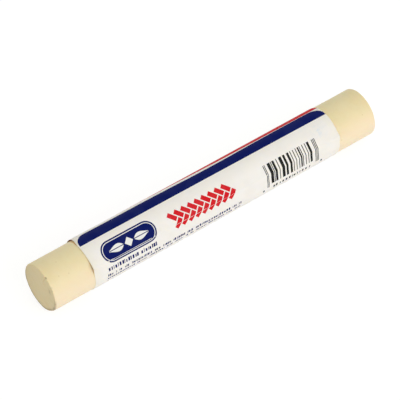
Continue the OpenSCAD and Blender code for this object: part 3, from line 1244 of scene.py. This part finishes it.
# Each row: name, ink and seed, then start, end, foot, height and module in mm.
small_rows = [
    mark_row("row_under_tablet", NAVY, 3, 5.1, 23.5, 11.5, 1.5, 0.2, **WORDS),
    mark_row("small_print_1", NAVY, 5, 4.7, 55.3, 13.55, 1.05, 0.18, **WORDS),
    mark_row("small_print_2", NAVY, 8, 4.7, 54.9, 14.9, 0.8, 0.16, **WORDS),
]
bar_rows = [
    mark_row("guard_bars_left", BLACK, 2, 65.1, 66.2, 13.3, 8.1, 0.24, **GUARDS),
    mark_row("bars", BLACK, 43, 66.7, 83.7, 12.2, 7.0, 0.26, **BARS),
    mark_row("guard_bars_right", BLACK, 4, 84.0, 85.2, 13.3, 8.1, 0.24, **GUARDS),
    mark_row("bar_feet", BLACK, 9, 67.5, 83.1, 14.55, 1.15, 0.32, **FEET),
    mark_row("outer_foot_left", BLACK, 1, 63.5, 64.2, 14.6, 0.9, 0.55, **OUTER_FOOT),
    mark_row("outer_foot_right", BLACK, 1, 86.1, 86.8, 14.6, 0.9, 0.55, **OUTER_FOOT),
]

# %% Gather each ink into one piece


def gathered(name, pieces, finish):
    """Joins pieces of one ink into a single mesh, and clears the loose ones away."""
    mesh = bmesh.new()
    for piece in pieces:
        mesh.from_mesh(piece.data)
        bpy.data.objects.remove(piece)
    return as_object(name, mesh, finish)


navy_print = gathered("navy_print", [printed("navy_shapes", navy_drawing, NAVY)] + small_rows, NAVY)
red_print = gathered("red_print", [printed("red_shapes", red_drawing, RED)], RED)
black_print = gathered("black_bars", bar_rows, BLACK)
white_print = gathered("white_signs", [printed("white_shapes", white_drawing, WHITE)], WHITE)
prints = (navy_print, red_print, black_print, white_print)
print({piece.name: len(piece.data.polygons) for piece in prints})

# %% [markdown]
# ## The glue
# A thin film of dried glue holds the lap shut. It lies on the inner layer of the paper and stops short of
# the edges. The film's exact solid could be used as it is, but the dressed paper bends a little away from
# its own solid. So the film is rolled like the paper, to stay between the two layers. It is yellowish, with
# brush marks.

# %% Glue
GLUE_MARGIN = 0.5 * MM
GLUE_COLUMNS = 60
GLUE_ROWS = 60
GLUE_AMBER = (0.76, 0.66, 0.36, 1)
GLUE_DARK = (0.66, 0.52, 0.24, 1)


def glue_finish():
    """Dried label glue: a thin amber film, thicker in streaks."""
    finish, tree, shader, place = new_finish("dried glue", Specular_IOR_Level=0.5)
    streaks = effect(tree, BLOTCHES, place, scale=400.0, low=0.3, high=0.7)
    colour = mixed(tree, streaks, GLUE_AMBER, GLUE_DARK)
    grain = effect(tree, GRAIN, place, coarse_scale=700.0, fine_scale=2500.0)
    link_surface(tree, shader, colour, scaled(tree, streaks, 0.25, 0.4), grain, 0.01 * MM)
    return finish


under_free_edge = SHEET_START - FREE_EDGE_REACH + 2 * math.pi * LABEL_RADIUS
glue = grown("glue_film", SHEET_TREE, {
    **ROLL_SIZES, "Along start": GLUE_MARGIN, "Along end": LABEL_LENGTH - GLUE_MARGIN,
    "Round start": under_free_edge + GLUE_MARGIN, "Round end": SHEET_END - GLUE_MARGIN,
    "Underside": 0.0, "Topside": LAP_RISE - PAPER_THICK, "Slant": FREE_EDGE_SLANT,
    "Columns": GLUE_COLUMNS, "Rows": GLUE_ROWS, "Finish": glue_finish()})
print(glue.name, len(glue.data.polygons), "faces")

# %% [markdown]
# ## Table and light
# The stick lies on a white table in soft daylight: a large window nearly straight in front and a little to
# the right, a weaker sky with a faint tint, and light that the white table throws back on the underside. A
# brighter lamp could turn the table white, but it would bleach the stick as well. So the table and the sky
# are white only to rays that show them, and the table keeps a faint shadow.

# %% Table
FLOOR_SIZE = 4.0
FLOOR_SHADE = 0.30
FLOOR_GLOW = 0.79
FLOOR_WHITE = (0.94, 0.96, 0.99, 1)
FLOOR_GREY = (0.90, 0.92, 0.95, 1)


def shown(tree):
    """1 for rays that show a surface, straight or mirrored, and 0 for those that only carry light."""
    ray = put(tree, "ShaderNodeLightPath").outputs
    mirrored = calc(tree, "MAXIMUM", ray["Is Glossy Ray"], ray["Is Transmission Ray"])
    return calc(tree, "MAXIMUM", ray["Is Camera Ray"], mirrored)


def floor_finish():
    """White where it shows, with a faint shadow; plain white paper to the light that it throws back."""
    material = bpy.data.materials.new("white table")
    material.use_nodes = True
    tree = material.node_tree
    tree.nodes.remove(tree.nodes["Principled BSDF"])
    shade = put(tree, "ShaderNodeBsdfDiffuse", {"Color": (FLOOR_SHADE,) * 3 + (1,)})
    glow = put(tree, "ShaderNodeEmission", {"Strength": FLOOR_GLOW})
    seen = put(tree, "ShaderNodeAddShader", {0: shade.outputs[0], 1: glow.outputs[0]})
    grain = put(tree, "ShaderNodeTexNoise", {"Scale": 900.0}).outputs["Fac"]
    plain = put(tree, "ShaderNodeBsdfDiffuse", {"Color": mixed(tree, grain, FLOOR_GREY, FLOOR_WHITE)})
    both = put(tree, "ShaderNodeMixShader", {0: shown(tree), 1: plain.outputs[0], 2: seen.outputs[0]})
    tree.links.new(both.outputs[0], tree.nodes["Material Output"].inputs["Surface"])
    return material


floor_shape = bmesh.new()
bmesh.ops.create_grid(floor_shape, x_segments=1, y_segments=1, size=FLOOR_SIZE / 2)
floor = as_object("table", floor_shape, floor_finish())
print("table:", FLOOR_SIZE, "m wide")

# %% Light
# The window's power is in watts, its size and its place from the stick in metres.
SKY_LEVEL = 0.69
SKY_TINT = (0.995, 1.01, 0.955, 1)
WINDOW_POWER = 7.9
WINDOW_TINT = (1.0, 0.967, 0.95)
WINDOW_SIZE = 0.98
WINDOW_FROM = Vector((0.25, -1.28, 0.77))

world = bpy.data.worlds.new("sky")
scene.world = world
world.use_nodes = True
sky = world.node_tree
sky_shown = shown(sky)
background = sky.nodes["Background"].inputs
sky.links.new(scaled(sky, sky_shown, SKY_LEVEL, 1.0), background["Strength"])
sky.links.new(mixed(sky, sky_shown, SKY_TINT, (1, 1, 1, 1)), background["Color"])

window = link(bpy.data.objects.new("window", bpy.data.lights.new("window", "AREA")))
window.data.energy = WINDOW_POWER
window.data.color = WINDOW_TINT
window.data.size = WINDOW_SIZE
window.location = stick_middle + WINDOW_FROM
window.rotation_euler = (-WINDOW_FROM).to_track_quat("-Z", "Y").to_euler()
scene.view_settings.view_transform = "Standard"
print("sky", SKY_LEVEL, "and a window of", WINDOW_POWER, "W")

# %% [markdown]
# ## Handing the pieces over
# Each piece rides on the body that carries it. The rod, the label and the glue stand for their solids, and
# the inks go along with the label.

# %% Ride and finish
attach(rod, "rod")
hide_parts("wax_stick")
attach(label, "sleeve")
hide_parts("label_sleeve")
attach(glue, "sleeve")
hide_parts("seam_glue")
for piece in prints:
    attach(piece, "sleeve")
